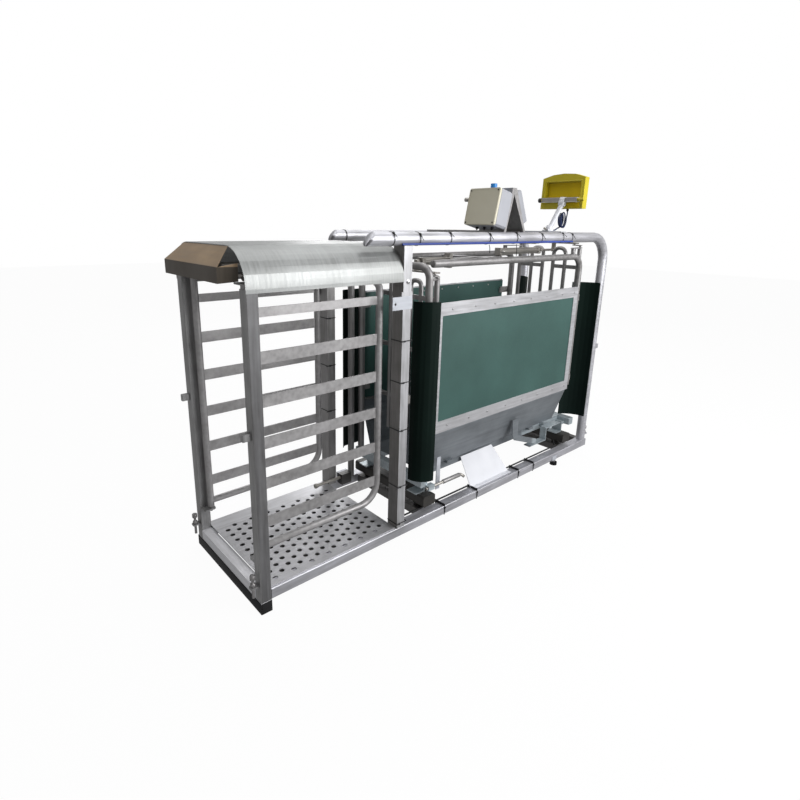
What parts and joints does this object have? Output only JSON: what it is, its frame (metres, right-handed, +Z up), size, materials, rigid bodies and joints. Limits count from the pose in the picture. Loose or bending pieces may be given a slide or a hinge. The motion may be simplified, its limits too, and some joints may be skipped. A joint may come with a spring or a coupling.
{
  "type": "three-way stock drafting gate with weigh crate",
  "caption": "Drafting gate for small stock: an open cage with two swinging side gates in front of a sided weigh crate with double doors at both ends, on one low base frame.",
  "frame": {"origin": "centre of the footprint on the ground", "axes": "+X along the race from the exit end to the entry end, +Y across from the near side, where the controls stand, to the far side, +Z up"},
  "size_m": [2.745, 0.666, 1.908],
  "materials": {
    "galvanised": "mill finish tube with a faint drawn grain",
    "brushed_sheet": "brushed bright sheet",
    "dark_steel": "satin black paint",
    "green_sheet": "satin solid-coloured plastic sheet",
    "dark_green_sheet": "satin solid-coloured plastic sheet",
    "cylinder_metal": "anodised and turned metal",
    "white_paint": "gloss white paint",
    "beige_case": "satin moulded enclosure",
    "yellow_case": "moulded, fine texture",
    "blue_cable": "smooth sheath",
    "black_rubber": "matt"
  },
  "bodies": {
    "stand": {"base_frame": "galvanised", "cage_floor": "brushed_sheet", "control_box": "beige_case", "control_stand": "galvanised", "crate_bearers": "galvanised", "crate_exit_hoop": "galvanised", "crate_post_far": "galvanised", "crate_post_near": "galvanised", "crate_side_far": "green_sheet", "crate_side_near": "green_sheet", "crate_tray": "brushed_sheet", "crate_trim_far": "brushed_sheet", "crate_trim_near": "brushed_sheet", "crate_tube_far": "galvanised", "crate_tube_near": "galvanised", "entry_ram": "cylinder_metal", "exit_beam": "galvanised", "exit_post_far": "galvanised", "exit_post_near": "galvanised", "exit_ram": "cylinder_metal", "foot_far": "black_rubber", "foot_near": "black_rubber", "gate_ram_far": "cylinder_metal", "gate_ram_near": "cylinder_metal", "hood": "brushed_sheet", "indicator_post": "white_paint", "load_bar_entry": "dark_steel", "load_bar_exit": "dark_steel", "mid_post_far": "galvanised", "portal_beam": "galvanised", "rail_hose": "black_rubber", "ram_carrier": "galvanised", "spine_cable": "blue_cable", "spine_tube_far": "galvanised", "spine_tube_near": "galvanised", "step_plate": "white_paint", "valve_box": "white_paint", "visor": "brushed_sheet", "wing_entry_far": "dark_green_sheet", "wing_entry_near": "dark_green_sheet", "wing_exit_far": "dark_green_sheet", "wing_exit_near": "dark_green_sheet"},
    "gate_near": {"gate_near": "galvanised"},
    "gate_far": {"gate_far": "galvanised"},
    "gate_yoke_near": {"gate_yoke_near": "cylinder_metal"},
    "gate_yoke_far": {"gate_yoke_far": "cylinder_metal"},
    "exit_leaf_near": {"exit_leaf_near": "galvanised"},
    "exit_leaf_far": {"exit_leaf_far": "galvanised"},
    "exit_crosshead": {"exit_crosshead": "cylinder_metal"},
    "entry_leaf_near": {"entry_leaf_near": "galvanised"},
    "entry_leaf_far": {"entry_leaf_far": "galvanised"},
    "entry_crosshead": {"entry_crosshead": "cylinder_metal"},
    "indicator_case": {"indicator_case": "yellow_case"},
    "drop_pin_exit_near": {"drop_pin_exit_near": "galvanised"},
    "drop_pin_exit_far": {"drop_pin_exit_far": "galvanised"},
    "drop_pin_entry_near": {"drop_pin_entry_near": "galvanised"},
    "drop_pin_entry_far": {"drop_pin_entry_far": "galvanised"},
    "lock_bolt_near": {"lock_bolt_near": "cylinder_metal"},
    "lock_bolt_far": {"lock_bolt_far": "cylinder_metal"}
  },
  "joints": [
    {"name": "gate_near_swing", "type": "hinge", "parent": "stand", "child": "gate_near", "pos_m": [-1.2575, -0.252, 0.265], "axis": [0, 0, 1], "range_deg": [0, 45]},
    {"name": "gate_far_swing", "type": "hinge", "parent": "stand", "child": "gate_far", "pos_m": [-1.2575, 0.252, 0.265], "axis": [0, 0, 1], "range_deg": [-45, 0]},
    {"name": "gate_near_rod", "type": "slide", "parent": "stand", "child": "gate_yoke_near", "axis": [1, 0, 0], "range_m": [-0.0785, 0.001]},
    {"name": "gate_far_rod", "type": "slide", "parent": "stand", "child": "gate_yoke_far", "axis": [1, 0, 0], "range_m": [-0.0785, 0.001]},
    {"name": "exit_leaf_near_swing", "type": "hinge", "parent": "stand", "child": "exit_leaf_near", "pos_m": [-0.2125, -0.225, 0.42], "axis": [0, 0, 1], "range_deg": [0, 75]},
    {"name": "exit_leaf_far_swing", "type": "hinge", "parent": "stand", "child": "exit_leaf_far", "pos_m": [-0.2125, 0.225, 0.42], "axis": [0, 0, 1], "range_deg": [-76, 1]},
    {"name": "exit_rod", "type": "slide", "parent": "stand", "child": "exit_crosshead", "axis": [1, 0, 0], "range_m": [-0.1115, 0.001]},
    {"name": "entry_leaf_near_swing", "type": "hinge", "parent": "stand", "child": "entry_leaf_near", "pos_m": [1.1275, -0.225, 0.42], "axis": [0, 0, 1], "range_deg": [0, 75]},
    {"name": "entry_leaf_far_swing", "type": "hinge", "parent": "stand", "child": "entry_leaf_far", "pos_m": [1.1275, 0.225, 0.42], "axis": [0, 0, 1], "range_deg": [-76, 1]},
    {"name": "entry_rod", "type": "slide", "parent": "stand", "child": "entry_crosshead", "axis": [1, 0, 0], "range_m": [-0.1115, 0.001]},
    {"name": "indicator_tilt", "type": "hinge", "parent": "stand", "child": "indicator_case", "pos_m": [0.9175, -0.195, 1.752], "axis": [0, 1, 0], "range_deg": [-15, 15]},
    {"name": "drop_pin_exit_near_lift", "type": "slide", "parent": "stand", "child": "drop_pin_exit_near", "axis": [0, 0, 1], "range_m": [0, 0.04]},
    {"name": "drop_pin_exit_far_lift", "type": "slide", "parent": "stand", "child": "drop_pin_exit_far", "axis": [0, 0, 1], "range_m": [0, 0.04]},
    {"name": "drop_pin_entry_near_lift", "type": "slide", "parent": "stand", "child": "drop_pin_entry_near", "axis": [0, 0, 1], "range_m": [0, 0.04]},
    {"name": "drop_pin_entry_far_lift", "type": "slide", "parent": "stand", "child": "drop_pin_entry_far", "axis": [0, 0, 1], "range_m": [0, 0.04]},
    {"name": "lock_bolt_near_slide", "type": "slide", "parent": "stand", "child": "lock_bolt_near", "axis": [1, 0, 0], "range_m": [-0.05, 0]},
    {"name": "lock_bolt_far_slide", "type": "slide", "parent": "stand", "child": "lock_bolt_far", "axis": [1, 0, 0], "range_m": [-0.05, 0]}
  ],
  "couplings": [
    {"joint": "gate_near_rod", "follows": "gate_near_swing", "m_per_rad": -0.0974},
    {"joint": "gate_far_rod", "follows": "gate_far_swing", "m_per_rad": 0.0974},
    {"joint": "exit_leaf_far_swing", "follows": "exit_leaf_near_swing", "ratio": -1},
    {"joint": "exit_rod", "follows": "exit_leaf_near_swing", "m_per_rad": -0.0837},
    {"joint": "entry_leaf_far_swing", "follows": "entry_leaf_near_swing", "ratio": -1},
    {"joint": "entry_rod", "follows": "entry_leaf_near_swing", "m_per_rad": -0.0837}
  ]
}
